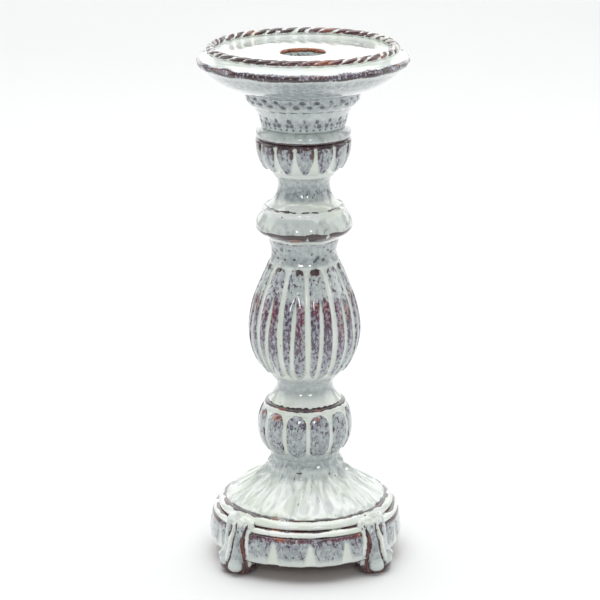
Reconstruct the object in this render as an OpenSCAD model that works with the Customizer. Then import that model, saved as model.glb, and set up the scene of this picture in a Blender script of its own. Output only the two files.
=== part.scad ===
// Glazed earthenware pedestal candlestick, built from luted sections on one vertical axis.
// Millimetres, +Z up, Z = 0 on the table, front towards -Y.

/* [Candle hole] */
// Radius of the candle hole
bore_r = 12; // [11:0.1:13]
// Straight depth of the candle hole, under its rounded lip
bore_depth = 20.6; // [18:0.2:21]
// Radius of the rounding on the lip of the hole
lip_r = 1.4; // [0.8:0.1:1.6]

/* [Rim] */
// Radius of the circle that the rope bead runs on
rope_at = 48.9; // [48.4:0.1:49.2]
// Radius of the rope bead itself
rope_r = 2.5; // [2.2:0.1:2.6]
// Strands round the rope bead
rope_n = 40; // [24:1:48]

/* [Fluting] */
// Full grooves down the baluster, with a shorter one between each two
baluster_n = 12; // [8:1:14]
// Lobes round the upper knop
upper_n = 14; // [10:1:16]
// Lobes round the lower knop
lower_n = 12; // [10:1:16]
// Flutes round the drum
drum_n = 16; // [12:4:24]
// Petals round the dome
petal_n = 16; // [12:1:20]
// Radius of the grooves between the lobes
groove_r = 1.3; // [0.8:0.1:1.6]

/* [Stamps] */
// Stamps round each row of the wide band
wide_n = 26; // [16:1:30]
// Stamps round the narrow band
narrow_n = 20; // [12:1:24]

/* [Base] */
// Bearing of the front feet to either side of the front, and of the back ones from the back
foot_at = 48; // [45:0.5:50]
// Radius of the kiln vent in the floor of the base
vent_r = 1.75; // [1.5:0.25:2]

/* [Fits] */
// Radial gap at each spigot
slip = 0.25; // [0.15:0.05:0.4]

/* [Hidden] */
$fn = 96;
// Heights of the joints, from the top down
z_floor = 281.5;
z_plate = 276.4;
z_dish = 261.5;
z_bell = 241.7;
z_bead = 235.7;
z_knop = 216;
z_spool = 198.6;
z_collar = 183.6;
z_vase = 102;
z_low = 89.2;
z_low_bead = 86.8;
z_low_knop = 58.6;
z_dome = 33.9;
z_ring1 = 29.2;
z_ring2 = 26;
z_drum = 9.4;
// Outside radii of the spigots
s_dish = 21.75;
s_bell = 16;
s_knop = 10.5;
s_collar = 14;
s_low = 13.5;
s_ring = 38;
// Radius of the hollow through the spools
core = 7.5;
// Plane that the feet are luted against, and half the width of its notch
foot_back = 48.5;
foot_w = 10.6;
// Point and direction where the two arcs of a baluster groove meet
belly_r = 30.8;
belly_z = 131;
belly_a = 3.3;
glaze = [0.87, 0.88, 0.84];
speckle = [0.66, 0.64, 0.70];
rust = [0.52, 0.27, 0.22];

// Turns a section about the axis
module turned(pts) {
  rotate_extrude() polygon(pts);
}

// Puts a thing at a bearing from the front, counted towards +X
module at(bearing) {
  rotate([0, 0, bearing - 90]) children();
}

// One round groove that follows an arc standing in the plane of the axis
module arc_groove(bearing, cr, cz, big, small, a0, a1) {
  at(bearing)
    translate([cr, 0, cz])
      rotate([90, 0, 0])
        rotate([0, 0, a0])
          rotate_extrude(angle = a1 - a0)
            translate([big, 0]) circle(r = small);
}

// A tapered rod from one point to another
module rod(from, to, w0, w1) {
  run = to - from;
  translate(from)
    rotate([0, acos(run[2] / norm(run)), atan2(run[1], run[0])])
      cylinder(r1 = w0, r2 = w1, h = norm(run));
}

// A row of round stamps
module stamps(n, phase, r, z, ball) {
  for (i = [0 : n - 1])
    at(phase + i * 360 / n) translate([r, 0, z]) sphere(r = ball);
}

// Blind glazed cup for the candle, luted in from under the dish floor
module candle_socket() {
  color(glaze)
    difference() {
      turned([[0, 256], [14.8, 256], [14.8, z_plate - 3], [18.5, z_plate - 3],
              [18.5, z_plate], [14.8, z_plate], [14.8, z_floor], [0, z_floor]]);
      translate([0, 0, z_floor - lip_r - bore_depth]) cylinder(r = bore_r, h = 30);
      rotate_extrude()
        difference() {
          translate([bore_r - 1, z_floor - lip_r]) square([lip_r + 1, lip_r + 1]);
          translate([bore_r + lip_r, z_floor - lip_r]) circle(r = lip_r);
        }
    }
}

// Twisted bead round the dish, on its flat land
module rope_rim() {
  color(rust)
    difference() {
      rotate_extrude()
        difference() {
          translate([rope_at, 283.5]) circle(r = rope_r);
          translate([rope_at - 4, 278.4]) square([8, 4]);
        }
      for (i = [0 : rope_n - 1])
        at(i * 360 / rope_n)
          translate([rope_at + 1.3, 0, 285.2])
            rotate([0, 0, -34]) rotate([0, 50, 0]) cylinder(r = 0.9, h = 10, center = true);
    }
}

// Flat-topped hollow dish with a moulded edge
module drip_dish() {
  color(glaze)
    turned([[15, z_floor], [46.4, z_floor], [46.4, 282.4], [51.6, 282.4], [52.2, 281.8],
            [53.4, 280.5], [54.8, 279.5], [55.9, 278.5], [56.5, 277.2], [55.9, 276],
            [54, 274.1], [52.2, 272.1], [50.1, 270.1], [47.5, 268.1], [43.8, 266.1],
            [39.4, 264.1], [35.2, 262.3], [31.6, z_dish], [s_dish + slip, z_dish],
            [s_dish + slip, 264.6], [26, 265.4], [33, 268.8], [41, 272.6], [46.5, z_plate],
            [15, z_plate]]);
}

// Flared neck with two stamped bands
module neck_bell() {
  color(glaze)
    difference() {
      turned([[31.6, z_dish], [29.4, 255], [28.2, 253.7], [26.5, 253.1], [26, 252.1],
              [25.4, 251], [22.2, z_bell], [s_bell, z_bell], [s_bell, 229.2],
              [12.5, 229.2], [12.5, 248], [17, 253.5], [17, 264.3], [s_dish, 264.3],
              [s_dish, z_dish]]);
      stamps(wide_n, 0, 31.8, 259.6, 1.4);
      stamps(wide_n, 180 / wide_n, 30.9, 256.9, 1.4);
      stamps(narrow_n, 0, 25.1, 248.2, 1.4);
      stamps(2 * narrow_n, 4.5, 23.3, 244, 0.7);
    }
}

// Plain ring between the neck and the upper knop
module upper_bead() {
  color(glaze)
    turned([[s_bell + slip, z_bell], [22.4, z_bell], [23.6, 241.2], [24.7, 239.9],
            [25.3, 238.2], [25.3, 236.9], [24.6, z_bead], [s_bell + slip, z_bead]]);
}

// Lobed knop under the neck
module upper_knop() {
  color(speckle)
    difference() {
      turned([[24.6, z_bead], [25.6, 234.9], [25.8, 231.6], [25.2, 228.2], [24.2, 224.8],
              [22.9, 221.6], [20.9, 219.2], [18.8, 217.4], [16.7, z_knop],
              [s_knop + slip, z_knop], [s_knop + slip, 222.4], [12.5, 222.4], [12.5, 228.7],
              [s_bell + slip, 228.7], [s_bell + slip, z_bead]]);
      for (i = [0 : upper_n - 1])
        arc_groove(15 + i * 360 / upper_n, 5.9, 232.6, 20, groove_r, -50, 3.5);
    }
}

// Waisted spool between the upper knop and the collar
module upper_spool() {
  color(glaze)
    turned([[core, 222], [s_knop, 222], [s_knop, z_knop], [16.7, z_knop], [15.2, 214.1],
            [14.4, 212], [14.05, 209.6], [14.4, 206.6], [15.3, 204], [16.8, 201.5],
            [18.6, 199.6], [20.4, z_spool], [s_collar, z_spool], [s_collar, 191.5],
            [core, 191.5]]);
}

// Stepped collar over both spigots
module collar_ring() {
  color(glaze)
    turned([[s_collar + slip, z_spool], [20.4, z_spool], [21.9, 198.3], [22.6, 197.2],
            [22.6, 195.6], [23.4, 194.4], [24.9, 192.4], [25.8, 190.2], [26.25, 187.6],
            [26, 186.2], [24.8, 184.7], [22.8, z_collar], [s_collar + slip, z_collar]]);
}

// One groove of the baluster: an upper and a lower arc that meet at the belly
module flute(bearing, small, top) {
  for (side = [[75, belly_a, top], [32.6, -48, belly_a]])
    arc_groove(bearing, belly_r - side[0] * cos(belly_a), belly_z - side[0] * sin(belly_a),
               side[0], small, side[1], side[2]);
}

// Fluted vase-shaped body, whose twelve broad lobes each divide in two above the belly
module baluster() {
  color(speckle)
    difference() {
      turned([[21.2, z_collar], [20.8, 182.4], [19.6, 181.3], [18.9, 178.6], [18.1, 175.8],
              [17.85, 173], [18.4, 170], [20.1, 165.8], [22.4, 160.8], [24.8, 155.2],
              [27, 149.4], [28.9, 142.8], [30.2, 136], [30.6, 129.8], [30.1, 123.8],
              [28.7, 118], [26.5, 112.8], [23.5, 108.6], [20, 105.2], [16.9, z_vase],
              [s_knop + slip, z_vase], [s_knop + slip, 107.6], [17, 111], [21.6, 119],
              [23, 130], [22, 140], [18, 154], [14, 165], [10.5, 172], [9, 176],
              [9, 190.8], [s_collar, 190.8], [s_collar, z_collar]]);
      for (i = [0 : baluster_n - 1]) {
        flute(3.5 + i * 360 / baluster_n, groove_r, 31.5);
        flute(3.5 + (i + 0.5) * 360 / baluster_n, 0.75 * groove_r, 19);
      }
    }
}

// Waisted spool under the baluster
module lower_spool() {
  color(glaze)
    turned([[core, 107.2], [s_knop, 107.2], [s_knop, z_vase], [16.9, z_vase], [15.9, 100.5],
            [15.7, 98.4], [16.2, 96], [17.3, 93.9], [18.7, 91.6], [20.3, z_low],
            [s_collar, z_low], [s_collar, 79.8], [core, 79.8]]);
}

// Small ring between the lower spool and the lower knop
module lower_bead() {
  color(glaze)
    turned([[s_collar + slip, z_low], [20.3, z_low], [21.5, 88.9], [22.3, 88.1],
            [22.4, z_low_bead], [s_collar + slip, z_low_bead]]);
}

// Lobed knop over the dome
module lower_knop() {
  color(speckle)
    difference() {
      turned([[22.4, z_low_bead], [24.1, 84.6], [25.3, 81.4], [26.1, 77.4], [26.2, 73.2],
              [25.5, 69.2], [24.2, 65.8], [22.4, 63.1], [20.4, 61.1], [18.95, z_low_knop],
              [s_low + slip, z_low_knop], [s_low + slip, 65.3], [18, 67.5], [19.4, 72],
              [19, 76.5], [s_collar + slip, 79.4], [s_collar + slip, z_low_bead]]);
      for (i = [0 : lower_n - 1])
        arc_groove(4 + i * 360 / lower_n, 5.8, 75.2, 20.5, groove_r + 0.2, -44, 32);
    }
}

// Petalled dome over the base, with a scalloped shelf at its neck
module base_dome() {
  color(glaze)
    difference() {
      union() {
        turned([[9.5, 64.9], [s_low, 64.9], [s_low, z_low_knop], [18.95, z_low_knop],
                [19.1, 56.4], [20, 54.9], [20.2, 53.2], [20.9, 51.4], [22.6, 49.4],
                [25, 47.3], [28, 45.1], [31.6, 42.5], [35.6, 40.1], [39.3, 38],
                [42, 36.1], [44, z_dome], [s_ring + slip, z_dome], [s_ring + slip, 36.5],
                [34, 36.5], [29, 38], [22, 41.6], [15, 47], [9.5, 52.5]]);
        for (i = [0 : petal_n - 1])
          at(i * 360 / petal_n) translate([18.6, 0, 53.3]) cylinder(r = 2.7, h = 1.7);
      }
      for (i = [0 : petal_n - 1])
        at((i + 0.5) * 360 / petal_n) rod([23.3, 0, 48.9], [42.4, 0, 35.7], 0.7, 1.6);
    }
}

// Upper moulded ring of the base
module base_ring_upper() {
  color(glaze)
    turned([[s_ring + slip, z_dome], [44.4, z_dome], [46.2, 33.2], [47.5, 31.9],
            [48.1, 30.4], [47.4, z_ring1], [s_ring + slip, z_ring1]]);
}

// Room for the feet in the lower ring and the drum
module notches() {
  for (a = [-foot_at, foot_at, foot_at - 180, 180 - foot_at])
    at(a) translate([foot_back, -foot_w, -1]) cube([20, 2 * foot_w, 40]);
}

// Lower moulded ring of the base
module base_ring_lower() {
  color(glaze)
    difference() {
      turned([[s_ring + slip, z_ring1], [47.4, z_ring1], [49.2, 29], [50.6, 28],
              [50.9, 26.7], [50.2, z_ring2], [s_ring + slip, z_ring2]]);
      notches();
    }
}

// Fluted hollow drum with its floor, kiln vent and locating collar
module base_drum() {
  color(speckle)
    difference() {
      turned([[vent_r, z_drum], [51.6, z_drum], [52.6, 10.6], [52.9, 14], [52.6, 18],
              [52.2, 21.4], [51.7, 22.7], [51.8, 24], [51.3, 25.3], [50.2, z_ring2],
              [s_ring, z_ring2], [s_ring, 36.2], [34, 36.2], [34, 21], [44, 21],
              [44, 14.4], [vent_r, 14.4]]);
      notches();
      for (i = [0 : drum_n - 1])
        at(2.7 + i * 360 / drum_n) rod([53.1, 0, 6], [52.3, 0, 22.3], 2.4, 0.7);
    }
}

// One scroll foot, seated on the plane in its notch and under the drum.
// Its drop faces the front or the back, so it sits to one side of the foot's own plane.
module foot(bearing, side) {
  drop_at = -3 * side;
  at(bearing)
    difference() {
      union() {
        intersection() {
          rotate([90, 0, 90])
            linear_extrude(height = 70)
              polygon([[-6.8, 0], [6.8, 0], [9, 1.2], [10.1, 3.6], [10.2, 6.5], [9.8, 9.6],
                       [9.3, 13.5], [9.1, 18], [9.2, 22.5], [9.6, 26.5], [10, 29.4], [10, 31],
                       [-10, 31], [-10, 29.4], [-9.6, 26.5], [-9.2, 22.5], [-9.1, 18],
                       [-9.3, 13.5], [-9.8, 9.6], [-10.2, 6.5], [-10.1, 3.6], [-9, 1.2]]);
          rotate([90, 0, 0])
            linear_extrude(height = 40, center = true)
              polygon([[42, 0], [54.6, 0], [56.8, 1.2], [57.9, 3.6], [57.9, 6.4], [56.7, 10],
                       [55.3, 14], [54.2, 18], [53.4, 22], [52.5, 26], [51.1, 29],
                       [49.2, 31], [foot_back, 31], [foot_back, z_drum], [39.6, z_drum],
                       [39, 5], [40, 1.6]]);
          translate([47.4, 0, -1]) cylinder(r = 10.7, h = 40);
        }
        translate([52.6, drop_at, 5.8]) sphere(r = 4.8);
      }
      for (s = [-1, 1]) {
        rod([51.4, drop_at / 3 + 4.2 * s, 29], [54.4, drop_at / 2 + 3.8 * s, 17], 0.8, 1.3);
        translate([54.4, drop_at / 2 + 3.8 * s, 17]) sphere(r = 1.5);
        rod([54.4, drop_at / 2 + 3.8 * s, 17], [56.9, drop_at + 5 * s, 5], 1.3, 1);
      }
    }
}

module foot_front_left() {
  color(glaze) foot(-foot_at, -1);
}

module foot_front_right() {
  color(glaze) foot(foot_at, 1);
}

module foot_back_left() {
  color(glaze) foot(foot_at - 180, 1);
}

module foot_back_right() {
  color(glaze) foot(180 - foot_at, -1);
}

candle_socket();
rope_rim();
drip_dish();
neck_bell();
upper_bead();
upper_knop();
upper_spool();
collar_ring();
baluster();
lower_spool();
lower_bead();
lower_knop();
base_dome();
base_ring_upper();
base_ring_lower();
base_drum();
foot_front_left();
foot_front_right();
foot_back_left();
foot_back_right();
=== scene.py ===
"""Looks of the glazed pedestal candlestick: dense turned and carved meshes over the CAD sections,
one reactive gloss glaze, a pale floor, soft studio light and the camera.

Sections are written in millimetres as (radius, height) and turned into metres when a mesh is made.
A bearing is an angle about the stem, 0 at the front (-Y) and growing towards +X."""

import math

import bpy
import numpy as np
from mathutils import Euler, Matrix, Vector


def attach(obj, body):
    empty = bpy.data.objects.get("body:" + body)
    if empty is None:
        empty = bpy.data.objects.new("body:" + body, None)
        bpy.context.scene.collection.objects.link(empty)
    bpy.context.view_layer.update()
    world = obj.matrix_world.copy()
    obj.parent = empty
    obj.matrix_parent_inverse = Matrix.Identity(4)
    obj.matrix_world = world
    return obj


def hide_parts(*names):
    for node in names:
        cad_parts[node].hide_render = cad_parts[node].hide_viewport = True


MM = 0.001
# Turned meshes: columns round the stem, and mm between rows
COLUMNS = 576
STEP = 0.4
# What is painted on each mesh for the glaze to read
MARKS = ("pool", "grey", "plum", "red", "edge", "rust", "ink", "bare")

# The dish's floor, the candle hole, and the ring, height, thickness, strands and turns of the rope
FLOOR = 281.5
BORE_R = 12.0
ROPE_AT = 48.9
ROPE_Z = 283.45
ROPE_R = 2.45
ROPE_STRANDS = 40
ROPE_TWIST = 3
# The side and the face that each foot belongs to: right is 1, and so is front
FEET = {
    "foot_front_left": (-1, 1),
    "foot_front_right": (1, 1),
    "foot_back_left": (-1, -1),
    "foot_back_right": (1, -1),
}
# Where a foot is: its bearing from the front or back, its scroll's distance from the middle, its top,
# and the middle of its drop (across the face, and up)
FOOT_BEARING = 46.5
FOOT_AXIS = 37.2
FOOT_TOP = 33.2
DROP_AT = (1.2, 6.3)


def ease(low, high, value):
    """0 under low, 1 over high, and a smooth rise between."""
    t = np.clip((value - low) / (high - low), 0.0, 1.0)
    return t * t * (3.0 - 2.0 * t)


def bell(centre, width, value):
    """1 at the centre, falling to nothing over about twice the width."""
    return np.exp(-(((value - centre) / width) ** 2))


def wobble(bearing, height, seed, turns=9, pitch=22.0):
    """A smooth random field of about -1 to 1 over bearing (degrees) and height (mm)."""
    rng = np.random.default_rng(seed)
    angle = np.radians(bearing)
    total = 0.0
    for _ in range(8):
        around = rng.integers(1, turns + 1)
        along = rng.uniform(-1.0, 1.0) * 2.0 * math.pi / pitch
        start = rng.uniform(0.0, 2.0 * math.pi)
        total = total + np.sin(around * angle + along * height + start)
    return total / math.sqrt(8.0)


def sway(bearing, seed, turns=9):
    """A smooth random field that changes round the stem and not along it."""
    return wobble(bearing, 0.0, seed, turns)


def from_nearest(bearing, count, phase):
    """Degrees from the nearest of count even places, the first of them at phase."""
    pitch = 360.0 / count
    return (bearing - phase + pitch / 2.0) % pitch - pitch / 2.0


def rounded_box(x, y, half_x, half_y, corner):
    """Distance inside a rounded rectangle, negative outside it."""
    corner = np.minimum(corner, np.minimum(half_x, half_y))
    qx = np.abs(x) - half_x + corner
    qy = np.abs(y) - half_y + corner
    outside = np.hypot(np.maximum(qx, 0.0), np.maximum(qy, 0.0))
    return corner - outside - np.minimum(np.maximum(qx, qy), 0.0)


def smooth_run(points, step):
    """Points about step apart along one smooth curve through the given points."""
    p = np.array(points, float)
    gaps = np.maximum(np.hypot(*np.diff(p, axis=0).T), 1e-6)
    at = np.concatenate([[0.0], np.cumsum(gaps)])
    slopes = np.diff(p, axis=0) / gaps[:, None]
    tangents = np.vstack([slopes[:1], slopes[-1:]])
    if len(p) > 2:
        weight = (gaps[:-1] / (gaps[:-1] + gaps[1:]))[:, None]
        inner = slopes[:-1] * (1.0 - weight) + slopes[1:] * weight
        tangents = np.vstack([slopes[:1], inner, slopes[-1:]])
    count = max(2, int(math.ceil(at[-1] / step)) + 1)
    s = np.linspace(0.0, at[-1], count)
    i = np.clip(np.searchsorted(at, s, side="right") - 1, 0, len(gaps) - 1)
    h = gaps[i][:, None]
    t = ((s - at[i]) / gaps[i])[:, None]
    start = (2 * t**3 - 3 * t**2 + 1) * p[i] + (t**3 - 2 * t**2 + t) * h * tangents[i]
    end = (3 * t**2 - 2 * t**3) * p[i + 1] + (t**3 - t**2) * h * tangents[i + 1]
    return start + end


def outline(runs):
    """Smooth runs joined end to start, with a crease where two meet."""
    parts = [smooth_run(run, STEP) for run in runs]
    return np.vstack([parts[0]] + [part[1:] for part in parts[1:]])


def arc(centre_r, centre_z, radius, first, last, count=7):
    """Points along an arc, from the first angle to the last, in degrees from the radius."""
    angles = np.radians(np.linspace(first, last, count))
    return [(centre_r + radius * math.cos(a), centre_z + radius * math.sin(a)) for a in angles]


# ---------------------------------------------------------------- meshes


def new_mesh(name, points, quads, marks):
    """A smooth-shaded piece from metres, quads and its painted marks."""
    mesh = bpy.data.meshes.new(name)
    mesh.vertices.add(len(points))
    mesh.vertices.foreach_set("co", points.astype(np.float32).ravel())
    mesh.loops.add(quads.size)
    mesh.loops.foreach_set("vertex_index", quads.astype(np.int32).ravel())
    mesh.polygons.add(len(quads))
    mesh.polygons.foreach_set("loop_start", np.arange(0, quads.size, 4, dtype=np.int32))
    mesh.update(calc_edges=True)
    mesh.validate()
    mesh.polygons.foreach_set("use_smooth", np.ones(len(mesh.polygons), dtype=bool))
    for mark in MARKS:
        layer = mesh.attributes.new(mark, "FLOAT", "POINT")
        layer.data.foreach_set("value", marks[mark].astype(np.float32).ravel())
    piece = bpy.data.objects.new(name, mesh)
    bpy.context.scene.collection.objects.link(piece)
    return piece


def grid_quads(rows, columns, close_rows):
    """Quads of a grid that wraps round its columns, and round its rows if asked."""
    last = rows if close_rows else rows - 1
    i = np.arange(last)[:, None]
    j = np.arange(columns)[None, :]
    below = (i + 1) % rows
    beside = (j + 1) % columns
    corners = [i * columns + j, below * columns + j, below * columns + beside, i * columns + beside]
    return np.stack([np.broadcast_to(c, (last, columns)) for c in corners], axis=-1).reshape(-1, 4)


def turned(name, node, runs, back, carve):
    """One clay section. runs is its seen outline from the top outwards and down, back its hidden one.

    carve(bearing, radius, height, marks) gives the relief along the outline's normal, and paints."""
    seen = outline(runs)
    loop = np.vstack([seen, np.array(back, float)])
    bearing = np.arange(COLUMNS) * 360.0 / COLUMNS
    slope = np.gradient(seen, axis=0)
    slope = slope / np.maximum(np.hypot(slope[:, 0], slope[:, 1]), 1e-9)[:, None]
    radius = np.repeat(loop[:, :1], COLUMNS, axis=1)
    height = np.repeat(loop[:, 1:], COLUMNS, axis=1)
    marks = {mark: np.zeros(radius.shape) for mark in MARKS}
    rows = len(seen)
    view = {mark: marks[mark][:rows] for mark in MARKS}
    relief = carve(bearing[None, :], radius[:rows], height[:rows], view)
    fade = np.minimum(ease(0, 3, np.arange(rows)), ease(0, 3, rows - 1 - np.arange(rows)))
    relief = relief * fade[:, None]
    radius[:rows] += -slope[:, 1:] * relief
    height[:rows] += slope[:, :1] * relief
    marks["bare"][rows:] = 1.0
    turn = np.radians(bearing - 90.0)[None, :]
    points = np.stack([radius * np.cos(turn), radius * np.sin(turn), height], axis=-1)
    piece = new_mesh(name, points.reshape(-1, 3) * MM, grid_quads(len(loop), COLUMNS, True), marks)
    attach(piece, "root")
    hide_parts(node)
    return piece


# ---------------------------------------------------------------- relief and paint of each section


def bearing_near(bearing):
    """Bearings from -180 to 180, with the front at 0."""
    return (bearing + 180.0) % 360.0 - 180.0


def patches(bearing, height, places):
    """Soft spots of paint, each given as bearing, height, degrees across and mm tall."""
    around = bearing_near(bearing)
    total = np.zeros(np.broadcast(bearing, height).shape)
    for place, middle, wide, tall in places:
        total = np.maximum(total, bell(place, wide, around) * bell(middle, tall, height))
    return total


def paint(marks, mark, amount):
    """Adds an amount to a mark where it isn't already stronger."""
    marks[mark][:] = np.maximum(marks[mark], amount)


def broken_line(bearing, height, joint, half, share=0.5):
    """A dark line along a joint that thickens, thins and here and there breaks off."""
    seed = round(10 * joint)
    shift = 0.1 * sway(bearing, seed, turns=22)
    thick = half * (0.9 + 0.4 * sway(bearing, seed + 1, turns=36))
    alive = ease(-share - 0.7, -share + 0.3, sway(bearing, seed + 2, turns=14))
    return alive * bell(joint + shift, np.maximum(thick, 0.2), height)


def carve_socket(bearing, radius, height, marks):
    """The glazed candle hole: thin orange-brown glaze at the top of its wall, bluish white under it."""
    wall = ease(BORE_R + 0.9, BORE_R + 0.3, radius) * ease(258, 262, height)
    line = 279.5 + 0.35 * sway(bearing, 11, turns=16)
    paint(marks, "rust", 1.1 * wall * ease(line - 0.3, line + 0.2, height) * ease(281.6, 281.0, height))
    paint(marks, "edge", wall * bell(line - 0.1, 0.4, height))
    # Darker on the wall's left and right, seen from the front.
    paint(marks, "edge", 0.6 * wall * bell(95, 25, np.abs(bearing_near(bearing))))
    paint(marks, "plum", 0.35 * wall * ease(line, line - 1.5, height))
    return 0.0 * height


def carve_dish(bearing, radius, height, marks):
    """White floor, moulded edge with its mottled broken band, and the smooth bowl under it."""
    top = ease(279.9, 280.6, height)
    low = 276.0 + 0.35 * sway(bearing, 21, turns=18)
    high = 279.5 + 0.3 * sway(bearing, 22, turns=26)
    band = ease(low - 0.5, low + 0.2, height) * ease(high + 0.25, high - 0.35, height)
    band = band * ease(50.5, 52.5, radius)
    streak = wobble(bearing, height, 25, turns=40, pitch=7.0)
    paint(marks, "edge", band * (0.42 + 0.28 * streak + 0.5 * bell(low + 0.5, 0.6, height)))
    paint(marks, "plum", 1.1 * band)
    blush = sway(bearing, 26, turns=16)
    paint(marks, "red", 0.4 * band * ease(277.0, 278.8, height) * ease(0.0, 1.1, blush))
    orange = ((16, 279.2, 5, 0.7), (-52, 279.0, 3, 0.5), (64, 279.0, 4, 0.5), (-141, 279.1, 5, 0.6))
    paint(marks, "rust", 0.8 * band * patches(bearing, height, orange))
    paint(marks, "grey", 0.95 * ease(276.8, 273, height))
    paint(marks, "pool", 0.45 * top)
    ripple = wobble(bearing, radius * 0.8, 23, turns=5, pitch=40.0)
    return 0.08 * ripple + 0.2 * band * streak


def carve_bell(bearing, radius, height, marks):
    """Two stamped bands with a dashed groove between them."""
    wide, narrow = 26, 20
    mm = np.radians(1.0) * radius
    uneven = wobble(bearing, height, 32, turns=30, pitch=8.0)
    relief = 0.12 * wobble(bearing, height, 31)
    ink = np.zeros_like(relief)
    for row, shift, size in ((259.7, 0.0, 1.0), (257.0, 180.0 / wide, 1.1)):
        x = from_nearest(bearing, wide, shift) * mm + 0.4 * (height - row) + 0.35 * uneven
        spot = np.exp(-((x / (1.8 * size)) ** 2) - ((height - row) / (1.05 * size)) ** 2)
        relief = relief - 1.0 * spot
        ink = np.maximum(ink, spot * (0.85 + 0.35 * uneven))
    zig = from_nearest(bearing, wide, 90.0 / wide) * mm
    line = 258.4 + 0.9 * np.sin(np.radians(bearing * wide))
    relief = relief - 0.3 * bell(0, 0.5, height - line)
    paint(marks, "grey", 0.45 + 0.55 * bell(258.4, 2.6, height))
    paint(marks, "plum", 0.3 * bell(258.4, 2.4, height) * ease(-0.5, 1.0, uneven))
    dash = ease(2.3, 1.8, np.abs(zig)) * bell(253.3, 0.6, height)
    relief = relief - 0.5 * bell(253.3, 0.8, height)
    ink = np.maximum(ink, 0.62 * dash * (1.0 + 0.3 * uneven))
    motif = from_nearest(bearing, narrow, 0.0) * mm
    for dx, row in ((0.0, 248.2), (-1.5, 245.6), (1.5, 245.6)):
        x = motif - dx + 0.3 * uneven
        spot = np.exp(-((x / 1.25) ** 2) - ((height - row) / 1.3) ** 2)
        relief = relief - 0.8 * spot
        ink = np.maximum(ink, spot * (0.8 + 0.4 * uneven))
    dot = from_nearest(bearing, 2 * narrow, 4.5) * mm
    spot = np.exp(-((dot / 0.9) ** 2) - ((height - 243.5) / 0.7) ** 2)
    relief = relief - 0.45 * spot
    paint(marks, "ink", np.maximum(ink, 0.8 * spot))
    paint(marks, "grey", 0.95 * bell(246.3, 3.4, height))
    return relief


def carve_bead(bearing, radius, height, marks):
    """Smooth ring over the upper knop, greyed as painted shade under the bell, dark at its foot."""
    # Grey all over with only a little white on top: painted shade under the bell above, mottled like the
    # glaze.
    paint(marks, "grey", 0.3 + 0.4 * ease(0.2, 1.3, wobble(bearing, height, 42, turns=30, pitch=8.0)))
    paint(marks, "pool", 0.25 * ease(240.0, 242.0, height))
    paint(marks, "edge", 1.2 * ease(237.3, 236.7, height))
    return 0.1 * wobble(bearing, height, 41)


def panels(bearing, radius, height, count, phase, span, groove, corner):
    """Distance inside the nearest raised panel, and how far round it the place is, -1 to 1.

    phase is the bearing of one groove, span the panels' lowest and highest point, groove half a
    groove's width and corner the panels' rounding, all in mm."""
    low, high = span
    half_pitch = math.pi * radius / count
    across = np.radians(from_nearest(bearing, count, phase + 180.0 / count)) * radius
    half = np.maximum(half_pitch - groove, 0.4)
    inside = rounded_box(across, height - (low + high) / 2, half, (high - low) / 2, corner)
    return inside, across / half_pitch


def carve_upper_knop(bearing, radius, height, marks):
    """Fourteen lobes with dark shoulders. The grooves widen to triangles at the foot."""
    groove = 0.8 + 2.3 * ease(229, 218, height) + 0.35 * bell(233.6, 1.0, height)
    inside, across = panels(bearing, radius, height, 14, 15, (218.6, 241.0), groove, 3.2)
    lobe = ease(-0.7, 0.8, inside)
    relief = 1.35 * (lobe * (1.0 - 0.4 * across**2) - 1.0)
    grime = wobble(bearing, height, 53, turns=40, pitch=9.0)
    paint(marks, "pool", 1.0 - ease(-0.4, 0.25, inside))
    paint(marks, "grey", 0.95 * ease(-0.1, 0.6, inside))
    shoulder = ease(0.25, 0.85, np.abs(across)) * ease(224.5, 232.5, height)
    paint(marks, "edge", 0.9 * shoulder * lobe * (1.0 + 0.4 * grime))
    paint(marks, "red", 0.5 * shoulder * ease(-0.6, 0.8, grime))
    blotch = 0.35 + 0.35 * ease(229, 234, height) + 0.3 * grime + 0.3 * shoulder
    paint(marks, "plum", blotch * ease(0.0, 0.8, inside))
    line = 234.1 + 0.4 * sway(bearing, 51, turns=24)
    dark = ease(line - 1.1, line + 0.1, height)
    paint(marks, "edge", dark * ease(-1.0, 0.3, inside + 2.0 * ease(234.4, 235.2, height)))
    paint(marks, "red", 0.6 * dark * ease(-0.8, 0.8, grime))
    feet = ((-25, 220.6, 4, 1.6), (29, 220.8, 3.5, 1.6), (-74, 220.8, 4, 1.4), (80, 220.6, 4, 1.4))
    paint(marks, "edge", 0.75 * patches(bearing, height, feet))
    marks["pool"][:] *= ease(235.0, 233.6, height) * (0.55 + 0.45 * ease(221, 229, height))
    marks["grey"][:] *= ease(217.0, 219, height)
    return relief * ease(235.7, 234.2, height) + 0.08 * wobble(bearing, height, 52)


def carve_upper_spool(bearing, radius, height, marks):
    """Smooth waist: grey-green in the hollow, white on the flare, partly glaze and partly a painted
    highlight.
    """
    paint(marks, "grey", 0.55 + 0.45 * bell(208, 4.5, height))
    hollow = bell(207, 2.2, height) * ease(-0.8, 0.8, wobble(bearing, height, 62, turns=10))
    paint(marks, "plum", 0.5 * hollow)
    marks["grey"][:] *= ease(200.5, 204.5, height)
    # White on the up-facing flare: the glaze's white, raised into a painted highlight.
    paint(marks, "pool", 1.2 * ease(204, 200.8, height))
    paint(marks, "edge", 0.75 * broken_line(bearing, height, 198.6, 0.36, share=0.8))
    return 0.15 * wobble(bearing, height, 61)


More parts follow.
